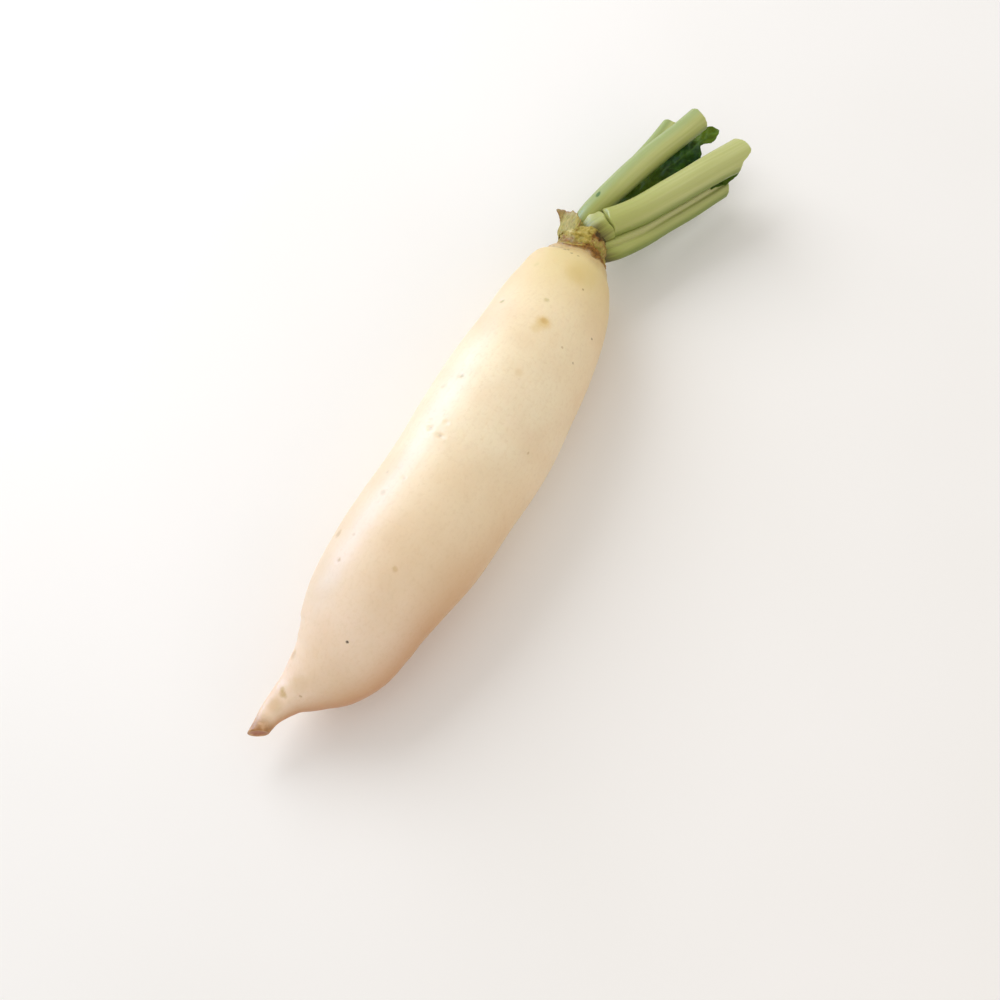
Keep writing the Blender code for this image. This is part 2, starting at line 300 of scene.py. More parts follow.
# Leaf scars: station, turn, half their width round, lean, height. Each is a thin torn lip
# that rises slowly from the root side and drops on the leaf side.
LEAF_SCARS = [
    (288.6, 40, 52, 0.018, 0.35),
    (287.6, 116, 36, -0.030, 0.55),
    (288, 205, 60, 0.012, 0.5),
    (288.4, -58, 50, -0.010, 0.45),
    (291, 84, 34, 0.030, 0.6),
    (290.4, 146, 34, -0.022, 0.7),
    (291.6, 238, 48, 0.016, 0.6),
    (291.3, -8, 44, -0.008, 0.45),
    (294.4, 58, 30, -0.030, 0.45),
    (293.6, 112, 26, -0.040, 0.7),
    (294.6, 190, 50, 0.012, 0.65),
    (294.8, -60, 50, 0.010, 0.55),
    (297.2, 92, 30, 0.008, 0.45),
    (297.4, 215, 60, -0.010, 0.55),
]
LIP_RISE = 1.5
LIP_DROP = 0.5
LIP_BOW = 1.2
for at, around, half, lean, height in LEAF_SCARS:
    off = turned_from(degrees, around)
    torn = 1.6 * rough(plain, 3.4, at) + 0.7 * rough(plain, 1.3, at)
    before = station - (at + lean * off - LIP_BOW * (off / half) ** 2 + torn)
    lip = hump(before, np.where(before < 0, LIP_RISE, LIP_DROP))
    relief += height * lip * smooth_step(1.0, 0.5, np.abs(off) / half) * crown

# Patches on the crown that are dry and brown, painted deep shade, or grey: distance past the
# crease, half length, turn, half width in degrees, strength.
BROWN_PATCHES = [
    (1.2, 1.6, 112, 20, 1),
    (0.6, 1.4, 132, 16, 0.9),
    (7, 7.5, 118, 15, 0.65),
    (8.5, 3, 146, 18, 0.6),
    (0.5, 2, 170, 20, 0.8),
    (8, 3, 118, 12, 0.75),
    (1.5, 1.6, 62, 34, 0.25),
]
SHADED_PATCHES = [
    (13, 4, 140, 22, 1.05),
    (11, 2.4, 116, 9, 0.7),
    (13.5, 2, 98, 10, 0.3),
    (1, 1, 138, 10, 0.4),
]
GREY_PATCHES = [
    (-1.6, 1.6, 34, 20, 0.8),
    (1.5, 1.6, 26, 18, 0.5),
    (4.5, 1, 52, 14, 0.3),
    (3.2, 1, 76, 14, 0.5),
]


def patches(rows):
    """How strongly the skin of the crown is marked by a list of patches."""
    return sum(
        strength * hump(past_crease - past, long) * hump(turned_from(degrees, around), wide)
        for past, long, around, wide, strength in rows
    )


streaks = smooth_step(0.02, 0.35, rough(ringwise, [0.9, 6, 6], 3.3))
browned_and_hollow_shade = patches(BROWN_PATCHES) + in_crease * (0.75 + 0.4 * patches([(0, 9, 95, 40, 1)]))
# The hollows between the folds are darkened brown too, painted shade.
browned_and_hollow_shade += 0.3 * streaks * low_crown + 0.45 * hollow
# The far side of the neck is brown all over in places.
far_side = smooth_step(165, 200, (degrees + 360) % 360)
browned_and_hollow_shade += smooth_step(0.0, 0.5, rough(plain, 7, 9.1)) * far_side
# The shaded patches, and the hollows higher up the crown, are painted shade.
shaded = patches(SHADED_PATCHES) + hollow * patches([(10.0, 6.0, 100, 40, 0.3)])
greyed = patches(GREY_PATCHES)
# Pale fresh scraps of skin, in rings low down and in short pieces higher up.
scraps = smooth_step(0.12, 0.4, rough(ringwise, [1.5, 3.4, 3.4], 6.7))
pale_rings = smooth_step(0.05, 0.3, rough(ringwise, [1.0, 5, 5], 1.7))
paled = scraps * patches([(11.0, 4.0, 66, 26, 0.8)])
paled += pale_rings * patches([(6.0, 2.6, 70, 30, 0.8)])

rings = plain + relief[:, :, None] * outward
slant = TAIL_LONGER + (rings - core[0, :3]) @ (left[0] * TAIL_CUT_LEFT - up[0] * TAIL_CUT_UP)
slant *= hump(core[:, 0] - core[0, 0], TAIL_CUT_REACH)[:, None]
rings -= slant[:, :, None] * along[0]

# The cut tail face, a little sunk, and the top of the crown, a little domed. Each is drawn
# in to a point by rings of these shares of the last one's size.
TAIL_STEPS = [0.93, 0.8, 0.62, 0.42, 0.22]
CROWN_STEPS = [0.96, 0.88, 0.78, 0.66, 0.54, 0.42, 0.3, 0.18, 0.08]
TAIL_SUNK = 0.5
CROWN_DOMED = 1.6


def drawn_in(ring, share):
    """The ring made smaller about its middle."""
    middle = ring.mean(axis=0)
    return middle + (ring - middle) * share


tail_face = []
for share in TAIL_STEPS:
    face = drawn_in(rings[0], share)
    if share < 0.9:
        sunk = TAIL_SUNK * (1 - share) + 0.25 * rough(face, 1.6, 3.3)
        face += along[0] * sunk[:, None]
    tail_face.insert(0, face)
crown_top = []
for share in CROWN_STEPS:
    face = drawn_in(rings[-1], share)
    risen = CROWN_DOMED * (1 - share**2) + 0.9 * rough(face, 3.2, 5.1)
    crown_top.append(face + along[-1] * risen[:, None])
rings = np.concatenate([tail_face, rings, crown_top])
rings[:, :, 2] = np.maximum(rings[:, :, 2], 0.0)

# The frame's origin is under the middle of the whole radish. The crown end and the two
# sides of the root give its place.
cad_low, cad_high = np.array(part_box("taproot")) / MM
origin = (cad_low + cad_high - plain.min(axis=(0, 1)) - plain.max(axis=(0, 1))) / 2
origin[0] = cad_high[0] - plain[:, :, 0].max()
origin[2] = 0.0


def at_ends(values, first, last):
    """Values for the rings that close the two ends as well."""
    return np.concatenate(
        [
            np.broadcast_to(first, (len(TAIL_STEPS), ROOT_SIDES)),
            values,
            np.broadcast_to(last, (len(CROWN_STEPS), ROOT_SIDES)),
        ]
    )


# Stations below 0 mark the tail's cut face, down to about this far at its middle.
FACE_STATION = -5.0
face_station = FACE_STATION * (1 - np.array(TAIL_STEPS[::-1])[:, None])
taproot = closed_skin(
    "daikon_root",
    rings + origin,
    {
        "station": at_ends(station, face_station, 301.0),
        "turn": at_ends(degrees, degrees[0], degrees[0]),
        "crown": at_ends(crown, 0.0, 1.0),
        "past_crease": at_ends(past_crease, -300.0, 15.0),
        "browned_and_hollow_shade": at_ends(browned_and_hollow_shade, 0.0, 0.5),
        "shaded": at_ends(shaded, 0.0, 0.2),
        "greyed": at_ends(greyed, 0.0, 0.0),
        "paled": at_ends(paled, 0.0, 0.3),
    },
)


def linear(hex_colour):
    """The linear colour of an sRGB hex value."""
    channels = [int(hex_colour[i : i + 2], 16) / 255 for i in (0, 2, 4)]
    return [c / 12.92 if c <= 0.04045 else ((c + 0.055) / 1.055) ** 2.4 for c in channels] + [1.0]


def feed(tree, source, socket):
    """Links a socket, or a node's first live output, to an input."""
    if isinstance(source, bpy.types.Node):
        source = next(s for s in source.outputs if s.enabled)
    tree.links.new(source, socket)


def add_node(tree, kind, inputs, ramp=None, **settings):
    """Adds a shader node. Inputs hold values, hex colours, or the nodes or sockets to link."""
    made = tree.nodes.new("ShaderNode" + kind)
    for key, value in settings.items():
        setattr(made, key, value)
    for key, value in inputs.items():
        if isinstance(key, int):
            socket = made.inputs[key]
        else:
            socket = next(s for s in made.inputs if s.enabled and s.name == key)
        if isinstance(value, (bpy.types.Node, bpy.types.NodeSocket)):
            feed(tree, value, socket)
        else:
            socket.default_value = linear(value) if isinstance(value, str) else value
    if ramp:
        stops = made.color_ramp.elements
        while len(stops) < len(ramp):
            stops.new(0.5)
        for stop, (place, hex_colour) in zip(stops, ramp):
            stop.position = place
            stop.color = linear(hex_colour)
    return made


def place_in_mm(tree):
    """The place on the piece in millimetres, for patterns drawn to a real size."""
    place = add_node(tree, "TexCoord", {}).outputs["Object"]
    return add_node(tree, "VectorMath", {0: place, "Scale": 1 / MM}, operation="SCALE")


def new_material(name, **settings):
    """A new material, its node tree and its shader, with the shader's plain values set."""
    material = bpy.data.materials.new(name)
    material.use_nodes = True
    tree = material.node_tree
    shader = tree.nodes["Principled BSDF"]
    for key, value in settings.items():
        shader.inputs[key.replace("_", " ")].default_value = value
    return material, tree, shader


# Waxy radish skin: thin, pale and glossy, over wet white flesh that the light sinks into.
skin, tree, shader = new_material(
    "waxy_radish_skin",
    Roughness=0.4,
    IOR=1.45,
    Coat_Weight=0.3,
    Coat_Roughness=0.32,
    Subsurface_Weight=0.22,
    Subsurface_Radius=(1.0, 0.62, 0.36),
    Subsurface_Scale=0.004,
)
mm = place_in_mm(tree)
measured = {
    key: add_node(tree, "Attribute", {}, attribute_name=key).outputs["Fac"]
    for key in ("station", "turn", "crown", "past_crease", "browned_and_hollow_shade", "shaded", "greyed", "paled")
}
# Washed skin: whitest at mid length, warmer towards the shoulder, and tan at the tail.
along_root = add_node(
    tree, "MapRange", {"Value": measured["station"], "From Min": 0.0, "From Max": 300.0}
)
ivory = add_node(
    tree,
    "ValToRGB",
    {"Fac": along_root},
    ramp=[
        (0, "E8CDAE"), (0.09, "F0D8C0"), (0.2, "F0DAC2"), (0.33, "ECD5B4"),
        (0.46, "F2DFBD"), (0.6, "F6E8C9"), (0.76, "F3E1BB"), (0.95, "EDD8A8"),
    ],
)
# Fibres of the flesh show through as faint streaks, about 1 mm wide and 25 mm long.
lengthwise = add_node(tree, "VectorMath", {0: mm, 1: (0.04, 1.0, 1.0)}, operation="MULTIPLY")
# Clouds, mottling and fibres: where, features per mm, detail, roughness, the range of the
# noise that shows, strength, tint.
UNEVENNESS = [
    (mm, 1 / 30, 4.0, 0.5, 0.42, 0.72, 0.4, "E0C096"),
    (mm, 0.55, 5.0, 0.62, 0.5, 0.75, 0.3, "D8BC92"),
    (lengthwise, 0.9, 4.0, 0.5, 0.5, 0.75, 0.16, "E2C79C"),
]
# Most masks come and go softly.
SOFTLY = {"interpolation_type": "SMOOTHSTEP"}
layers = []
for where, per_mm, detail, roughness, low, high, strength, tint in UNEVENNESS:
    uneven = add_node(
        tree,
        "TexNoise",
        {"Vector": where, "Scale": per_mm, "Detail": detail, "Roughness": roughness},
    )
    mask = add_node(
        tree, "MapRange", {"Value": uneven, "From Min": low, "From Max": high, "To Max": strength}
    )
    layers.append((mask, tint))
# How far the skin is turned from the right flank and from the left side.
for key, around in (("off_flank", 197.0), ("off_left", 25.0)):
    off = add_node(tree, "Math", {0: measured["turn"], 1: around}, operation="SUBTRACT")
    measured[key] = add_node(tree, "Math", {0: off}, operation="ABSOLUTE")
# Tints by place: name, what is measured, where it starts and is whole, and how strong it
# is before and after. A strength may be an earlier tint's name, which then limits it too.
PLACES = [
    # The shoulder is tinged yellow by the light that it grew in.
    ("sunned", "station", 228.0, 284.0, 0.0, 0.8),
    # The right flank is painted tanner, the more so towards the tail: partly its own tan and
    # partly painted shade on the side away from the light.
    ("flank", "off_flank", 80.0, 18.0, 0.0, 1.0),
    ("tailwards", "station", 170.0, 60.0, 0.3, 0.8),
    # The left side of the shoulder is a little pinker than its top.
    ("left", "off_left", 50.0, 8.0, 0.0, 0.22),
    ("flush", "station", 185.0, 225.0, 0.0, "left"),
    # The lower right of the tail is painted rosy brown: partly its own colour and partly painted
    # shade on its underside.
    ("low_right", "off_flank", 48.0, 8.0, 0.0, 0.3),
    ("rosy", "station", 70.0, 30.0, 0.0, "low_right"),
    # The last few millimetres of the tail have dried to ochre and brown.
    ("dry_tail", "station", 10.0, 1.5, 0.0, 0.9),
]
by_place = {}
for name, key, starts, whole, before, after in PLACES:
    by_place[name] = add_node(
        tree,
        "MapRange",
        {
            "Value": measured[key],
            "From Min": starts,
            "From Max": whole,
            "To Min": before,
            "To Max": by_place.get(after, after),
        },
        **SOFTLY,
    )
# Tan and painted shade on the right flank, strongest towards the tail.
flank_tan_and_shade_mask = add_node(
    tree, "Math", {0: by_place["flank"], 1: by_place["tailwards"]}, operation="MULTIPLY"
)
flank_tan_and_shade = add_node(
    tree, "Mix", {"Factor": by_place["tailwards"], "A": "C2924A", "B": "BA8046"}, data_type="RGBA"
)
tail_noise = add_node(tree, "TexNoise", {"Vector": mm, "Scale": 0.35, "Detail": 4.0})
tail_brown = add_node(
    tree,
    "ValToRGB",
    {"Fac": tail_noise},
    ramp=[(0.36, "AE7C58"), (0.46, "986426"), (0.56, "AA7434"), (0.66, "C49668")],
)
# The cut face itself has gone mauve.
cut_face = add_node(
    tree,
    "MapRange",
    {"Value": measured["station"], "From Min": -1.0, "From Max": -2.2, "To Max": 0.75},
)
layers += [
    (by_place["sunned"], "E0CB8C"),
    (flank_tan_and_shade_mask, flank_tan_and_shade),
    (by_place["flush"], "E6C0A0"),
    (by_place["rosy"], "B66E56"),
    (by_place["dry_tail"], tail_brown),
    (cut_face, "9C5C3E"),
]

# Blemishes: station, turn, radius, colour, strength.
BLEMISHES = [
    (72, 42, 16, "D6C4A4", 0.3),
    (222, 54, 14, "E8C49C", 0.25),
    (225.1, 98.3, 4.4, "D9B664", 0.55),
    (225.6, 98.9, 2, "CBA24E", 0.5),
    (220.4, 95.5, 3, "DCC07C", 0.4),
    (232.8, 48.1, 1.7, "B5A762", 0.75),
    (236.9, 91, 1.5, "C2AE70", 0.5),
    (255.2, 119, 0.7, "96703A", 0.7),
    (217.9, 139.4, 0.7, "8E6B3C", 0.6),
    (235.6, 150.3, 0.8, "7E5A30", 0.7),
    (219.7, 124, 0.8, "B18E52", 0.5),
    (184.2, 59.2, 1.5, "B9AC78", 0.6),
    (177.9, 47.1, 1.6, "D0C29C", 0.5),
    (195.1, 101.7, 2.4, "E2CA9C", 0.5),
    (259.9, 59, 1.7, "D6C486", 0.4),
    (266, 112, 10, "D9BF70", 0.35),
    (262, 104, 6, "D2B668", 0.25),
    (284.6, 30, 1.3, "8E7E66", 0.6),
    (283.4, 41, 1.5, "9A8670", 0.55),
    (281.8, 52, 1.2, "8E8064", 0.6),
    (280.6, 63, 1.4, "9C8A68", 0.5),
    (279.5, 72, 1, "8C7A50", 0.7),
    (280.3, 76.5, 0.8, "8C7648", 0.7),
    (277.8, 85.5, 0.7, "8A7A4A", 0.7),
    (277.8, 95, 0.7, "9A8650", 0.6),
    (282.6, 47, 0.9, "8F8668", 0.7),
    (281, 58, 0.9, "9A8E70", 0.6),
    (155.2, 59.5, 1.2, "D2C4A2", 0.5),
    (153.2, 72.4, 1, "CDBB96", 0.5),
    (126.4, 45.1, 1.2, "CDBC98", 0.45),
    (116.3, 57.4, 1.6, "CDBA94", 0.5),
    (125.6, 66.1, 1, "CDBB96", 0.45),
    (92.2, 35, 2.6, "BCA068", 0.5),
    (94.1, 57, 1, "CBB184", 0.45),
    (82, 56, 1.2, "C09C5C", 0.6),
    (90.9, 104.5, 1.6, "CDAC74", 0.5),
    (54.6, 102, 0.75, "4A3A26", 0.95),
    (33.3, 40.6, 3, "C09A5C", 0.45),
    (20.6, 74, 1.5, "C4A869", 0.5),
    (20.2, 85, 1.9, "BE9C58", 0.6),
    (19.8, 97, 1.4, "C8AE78", 0.45),
    (15, 92, 4, "D2B07C", 0.4),
    (28, 96, 5, "D8BE96", 0.4),
    (24.7, 121, 0.8, "B09060", 0.6),
    (168.4, 141.4, 0.8, "B79560", 0.5),
    (70, 232, 2.2, "B4925A", 0.6),
    (138, 238, 2.4, "AF8A50", 0.6),
    (206, 236, 2, "B79A60", 0.6),
    (118, -22, 1.8, "B4925A", 0.6),
    (196, -14, 2, "A9975C", 0.6),
    (243, 228, 1.6, "A8884E", 0.6),
]
ragged = add_node(tree, "TexNoise", {"Vector": mm, "Scale": 0.7, "Detail": 3.0})
# Their outlines are shaken by up to this many millimetres, and by half of it on average.
SHAKE = 1.4
shaken = add_node(
    tree, "VectorMath", {0: ragged.outputs["Color"], "Scale": SHAKE}, operation="SCALE"
)
shifted = add_node(tree, "VectorMath", {0: mm, 1: shaken})
for at, around, size, hex_colour, strength in BLEMISHES:
    ring = np.argmin(np.abs(core[:, 0] - at))
    side = round((around + 90) % 360 / 360 * ROOT_SIDES) % ROOT_SIDES
    spot = rings[ring + len(TAIL_STEPS), side] + origin + SHAKE / 2
    away = add_node(tree, "VectorMath", {0: shifted, 1: tuple(spot)}, operation="DISTANCE")
    mask = add_node(
        tree,
        "MapRange",
        {
            "Value": away,
            "From Min": size * 1.25,
            "From Max": size * 0.35,
            "To Max": strength,
        },
        **SOFTLY,
    )
    layers.append((mask, hex_colour))

# The skin is tanner within about 6 mm of the crease.
by_crease = add_node(
    tree,
    "MapRange",
    {"Value": measured["past_crease"], "From Min": -9.0, "From Max": 0.0, "To Max": 0.6},
    interpolation_type="SMOOTHERSTEP",
)
layers.append((by_crease, "B99A66"))
skin_colour = ivory
for mask, tint in layers:
    skin_colour = add_node(
        tree, "Mix", {"Factor": mask, "A": skin_colour, "B": tint}, data_type="RGBA"
    )

# The crown: yellow-green scar tissue, pale where it is fresh, grey or brown where dry, and
# dark with painted shade in its hollows and under the stalks.
crown_noise = add_node(
    tree, "TexNoise", {"Vector": mm, "Scale": 0.45, "Detail": 5.0, "Roughness": 0.65}
)
crown_colour = add_node(
    tree,
    "ValToRGB",
    {"Fac": crown_noise},
    ramp=[(0.3, "7C6E20"), (0.45, "9A8A30"), (0.58, "B09E46"), (0.7, "C6B468")],
)
grit = add_node(tree, "TexNoise", {"Vector": mm, "Scale": 0.8, "Detail": 6.0, "Roughness": 0.7})
dry_brown = add_node(
    tree,
    "ValToRGB",
    {"Fac": grit},
    ramp=[(0.35, "4E2C00"), (0.47, "78480A"), (0.58, "966418"), (0.7, "B88C40")],
)
CROWN_TINTS = [
    ("paled", "D2C484"), ("greyed", "9A9068"), ("browned_and_hollow_shade", dry_brown), ("shaded", "3A2C00"),
]
for key, tint in CROWN_TINTS:
    uneven = add_node(tree, "Math", {0: grit, 1: 1.2, 2: measured[key]}, operation="MULTIPLY_ADD")
    mask = add_node(
        tree,
        "MapRange",
        {"Value": uneven, "From Min": 0.85, "From Max": 1.45, "To Max": 0.9},
        **SOFTLY,
    )
    crown_colour = add_node(
        tree, "Mix", {"Factor": mask, "A": crown_colour, "B": tint}, data_type="RGBA"
    )
with_crown = add_node(
    tree,
    "Mix",
    {"Factor": measured["crown"], "A": skin_colour, "B": crown_colour},
    data_type="RGBA",
)
feed(tree, with_crown, shader.inputs["Base Color"])

# Pores and the finest wrinkles, a few hundredths of a millimetre deep.
pores = add_node(tree, "TexNoise", {"Vector": mm, "Scale": 1.6, "Detail": 5.0, "Roughness": 0.6})
bumps = add_node(tree, "Bump", {"Height": pores, "Strength": 0.25, "Distance": 0.00012})
feed(tree, bumps, shader.inputs["Normal"])
# The washed skin is softly glossy, and the crown and the cut face are matt.
dullness = add_node(
    tree,
    "MapRange",
    {"Value": pores, "From Min": 0.3, "From Max": 0.7, "To Min": 0.44, "To Max": 0.58},
)
for mask, roughness in ((measured["crown"], 0.95), (cut_face, 1.0)):
    dullness = add_node(
        tree, "Mix", {"Factor": mask, "A": dullness, "B": roughness}, data_type="FLOAT"
    )
feed(tree, dullness, shader.inputs["Roughness"])

taproot.data.materials.append(skin)
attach(taproot, "root")
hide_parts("taproot")

# ---- Dry leaf bases
# Two thin, dry remains of the oldest leaves, which clasp the crown. Each is a papery
# sheath, yellow-green where it still grips the crown and brown along its torn edge.

# Name, CAD node, where it leaves the crown, thickness, how fresh it is, and its torn edge:
# turn, station of the edge there, how far the sheath bulges and how far its edge curls out.
SHEATHS = [
    (
        "dry_leaf_base_left", "crown_husk", 289.8, 0.55, 1.0,
        [
            (-38, 293, 1, 0), (-20, 296, 1.8, 0.3), (-4, 298.4, 2.6, 0.8),
            (6, 299.6, 1.9, 2.8), (12, 300.6, 1.9, 6), (17, 301.2, 1.9, 4),
            (23, 301.6, 1.9, 1.6), (32, 301.8, 1.8, 0.5), (44, 301.8, 1.4, 0.3),
            (56, 300, 0.9, 0), (70, 297.2, 0.5, 0),
        ],
    ),
    (
        "dry_leaf_base_right", "crown_scale", 287.4, 0.45, 0.12,
        [
            (108, 290.2, 0.2, 0), (116, 292.4, 0.5, 0.2), (124, 291.8, 0.7, 0.4),
            (132, 293.2, 0.9, 0.6), (141, 291.8, 0.8, 0.4), (149, 292.6, 0.7, 0.2),
            (158, 290.2, 0.3, 0),
        ],
    ),
]
SHEATH_SPACING = 0.42
# The crown's usual radius, which gives the spacing round it.
CROWN_RADIUS = 14
# The root of a sheath is sunk this deep, and it dries within so much of its edge.
SHEATH_SUNK = 0.6
DRY_EDGE = 3.0


def sheet_skin(name, grid, thickness, measures):
    """A thin piece with its middle on a grid of points, made solid by its thickness."""
    rows, columns = grid.shape[:2]
    at = np.arange(rows * columns).reshape(rows, columns)
    quads = np.stack([at[:-1, :-1], at[:-1, 1:], at[1:, 1:], at[1:, :-1]], axis=2)
    at_points = {key: values.reshape(-1, 1).astype(float) for key, values in measures.items()}
    thing = new_piece(name, grid.reshape(-1, 3), quads.reshape(-1, 4).tolist(), at_points)
    solid = thing.modifiers.new("thickness", "SOLIDIFY")
    solid.thickness = thickness * MM
    solid.offset = 0.0
    return thing


# Dry leaf sheath: fibrous and matt, from yellow-green flesh to brown, papery edges.
sheath_skin, tree, shader = new_material(
    "dry_leaf_sheath", Roughness=0.62, Subsurface_Weight=0.15, Subsurface_Scale=0.002
)
mm = place_in_mm(tree)
to_edge, from_root = (
    add_node(tree, "Attribute", {}, attribute_name=key).outputs["Fac"]
    for key in ("to_edge", "from_root")
)
drawn_out = add_node(tree, "VectorMath", {0: mm, 1: (0.3, 1.0, 1.0)}, operation="MULTIPLY")
fibre, mottle = (
    add_node(
        tree,
        "TexNoise",
        {"Vector": where, "Scale": per_mm, "Detail": detail, "Roughness": roughness},
    )
    for where, per_mm, detail, roughness in ((drawn_out, 0.8, 5.0, 0.6), (mm, 0.7, 6.0, 0.7))
)
fresh, worn, dried = (
    add_node(tree, "ValToRGB", {"Fac": pattern}, ramp=ramp)
    for pattern, ramp in (
        (fibre, [(0.3, "7A6C20"), (0.44, "988C34"), (0.58, "ACA048"), (0.72, "BEB264")]),
        (fibre, [(0.3, "847040"), (0.5, "A39058"), (0.7, "B8A470")]),
        (mottle, [(0.35, "6A441A"), (0.5, "8C662E"), (0.65, "AE8A50")]),
    )
)
# Worn towards the tip, and dried along the torn edge.
edge_line = add_node(tree, "Math", {0: mottle, 1: to_edge}, operation="SUBTRACT")
sheath_colour = fresh
for measure, starts, whole, strength, tint in (
    (from_root, 0.75, 1.25, 0.8, worn),
    (edge_line, 0.3, 0.55, 0.85, dried),
):
    mask = add_node(
        tree,
        "MapRange",
        {"Value": measure, "From Min": starts, "From Max": whole, "To Max": strength},
        **SOFTLY,
    )
    sheath_colour = add_node(
        tree, "Mix", {"Factor": mask, "A": sheath_colour, "B": tint}, data_type="RGBA"
    )
feed(tree, sheath_colour, shader.inputs["Base Color"])
bumps = add_node(tree, "Bump", {"Height": fibre, "Strength": 0.5, "Distance": 0.0003})
feed(tree, bumps, shader.inputs["Normal"])

for name, cad_node, start, thickness, freshness, edge in SHEATHS:
    edge_turn, edge_station = np.array(edge, float).T[:2]
    first, last = edge_turn[0], edge_turn[-1]
    rows = math.ceil((edge_station.max() - start) / SHEATH_SPACING) + 1
    columns = math.ceil(math.radians(last - first) * CROWN_RADIUS / SHEATH_SPACING) + 1
    u = np.linspace(0, 1, rows)[:, None]
    around = np.linspace(first, last, columns)[None]
    smooth_edge = curve_through(edge, [1.0] * len(edge))
    ends, bulge, curl = (
        np.interp(around, smooth_edge[:, 0], smooth_edge[:, i]) for i in (1, 2, 3)
    )
    for height, long, seed in ((0.9, 6, 2.5), (0.54, 2, 7.5)):
        ends = ends + height * np.array([noise.noise((a / long, start, seed)) for a in around[0]])
    x = start + (ends - start) * u
    core_y, core_z, core_radius = (np.interp(x, core[:, 0], core[:, i]) for i in (1, 2, 3))
    side = smooth_step(0.0, 12.0, np.minimum(around - first, last - around))
    off = core_radius - SHEATH_SUNK
    off += side * (bulge * smooth_step(0.0, 0.45, u) + curl * u**14 + 0.3 * u)
    a = np.radians(around)
    flat = np.stack([x, core_y + off * np.cos(a), core_z + off * np.sin(a)], axis=2)
    off += 0.45 * rough(flat, [7.0, 2.6, 2.6], start) + 0.2 * rough(flat, [4.0, 1.1, 1.1], start)
    grid = np.stack([x, core_y + off * np.cos(a), core_z + off * np.sin(a)], axis=2)
    measures = {
        "to_edge": freshness * np.minimum((1 - u) * (ends - start) / DRY_EDGE, side),
        "from_root": (x - start) / 10,
    }
    sheath = sheet_skin(name, grid + origin, thickness, measures)
    sheath.data.materials.append(sheath_skin)
    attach(sheath, "root")
    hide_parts(cad_node)

# ---- Leaf stalks
# Thick, juicy leaf stalks, cut across about 80 mm above the crown. They are finely
# ribbed, rounded below, and hollowed above where the lower one shows it. The middle one
# has snapped across just above its base, which leaves a dark crack.

STALK_SIDES = 96
STALK_SPACING = 0.7
CUT_STEPS = [0.97, 0.9, 0.78, 0.62, 0.44, 0.26, 0.12]

# Distance from the tail, sideways, height, width, thickness.
UPPER_ROWS = [
    (291, 14.6, 28.6, 14, 8),
    (297, 16.2, 29.2, 13.6, 8.8),
    (302, 17.2, 29.6, 12.2, 9.4),
    (307, 17.6, 30, 11.2, 10.2),
    (318, 15.6, 30.6, 12, 11.4),
    (332, 12.2, 31.6, 12.8, 12.2),
    (346, 8.6, 32.6, 13, 12.4),
    (359, 4.6, 33.5, 12.8, 12.2),
    (372, 0.2, 34, 12.6, 12),
    (385.3, -3.8, 34.4, 12.6, 12),
]
BACK_ROWS = [
    (290, 15.6, 24, 10, 8),
    (296, 18.4, 22.8, 10, 8),
    (305, 21, 21.8, 8.8, 8.2),
    (316, 20.8, 20.6, 9.6, 9),
    (335, 17.2, 19.6, 10.6, 9.6),
    (354, 13.4, 19.4, 11, 9.8),
    (368, 11.6, 19.6, 10.4, 9.4),
    (383.8, 10.4, 20, 10, 9),
]
BASE_ROWS = [
    (291, 12, 30, 15.4, 12),
    (295, 10.4, 31.4, 16, 14.4),
    (300, 8.1, 33.2, 16.8, 16),
    (305.6, 5.2, 34.6, 17.2, 16.2),
]
MIDDLE_ROWS = [
    (306.2, 5.2, 34.6, 16.4, 15.4),
    (312, 1, 34.7, 15.6, 15),
    (320, -4, 34.8, 15.2, 14.8),
    (337, -12.6, 35.4, 15.2, 14.8),
    (355, -21.5, 36, 15.6, 14.6),
    (378.6, -33.3, 36.4, 16.8, 13.8),
]
LOWER_ROWS = [
    (286.6, 7.6, 29, 11.4, 9),
    (291, 4.3, 28.9, 12, 11.4),
    (299, -1.9, 28.1, 13.2, 12.4),
    (312, -8.8, 26.4, 13.8, 12.4),
    (329, -15, 23, 13.6, 11.8),
    (346, -21.8, 20.8, 13.4, 11.4),
    (367.6, -30.2, 18.6, 13, 10.8),
]

# Name, CAD node, rows, furrows and ridges along it (place, half width in degrees, height as
# a share of the radius), how deep the ribs are, how strong its painted sheen is on the side
# that faces the sky, how far the cut end stands back from right (-1) to left (1), and how far
# its rim is rounded.
STALKS = [
    (
        "leaf_stalk_base", "leaf_base_middle", BASE_ROWS, [(60, 14, -0.04)], 0.10, 0.3,
        [(-1, 0.5), (-0.4, 0.2), (0.2, 0.0), (1, 0.3)], 0.1,
    ),
    (
        "snapped_leaf_stalk", "leaf_stalk_middle", MIDDLE_ROWS,
        [(168, 9, -0.04), (60, 20, 0.02)], 0.12, 0.3,
        [
            (-1, 9.5), (-0.86, 8.7), (-0.58, 7.2), (-0.46, 4),
            (-0.3, 1.3), (-0.13, 0), (0.5, 0.2), (1, 2.2),
        ],
        1.6,
    ),
    (
        "upper_leaf_stalk", "leaf_stalk_upper", UPPER_ROWS, [(40, 14, -0.03)], 0.08, 1.0,
        [(-1, 1.2), (0, 0.5), (1, 0.0)], 0.7,
    ),
    (
        "lower_leaf_stalk", "leaf_stalk_lower", LOWER_ROWS,
        [(84, 16, 0.14), (98, 8, 0.06), (113, 7, -0.13), (140, 20, 0.04)], 0.12, 0.3,
        [(-1, 4.6), (-0.4, 2.8), (0.2, 0.6), (0.7, 0.0), (1, 0.6)], 0.9,
    ),
    (
        "back_leaf_stalk", "leaf_stalk_back", BACK_ROWS, [(90, 20, -0.08)], 0.10, 1.0,
        [(-1, 0.0), (0, 0.4), (1, 1.0)], 0.7,
    ),
]
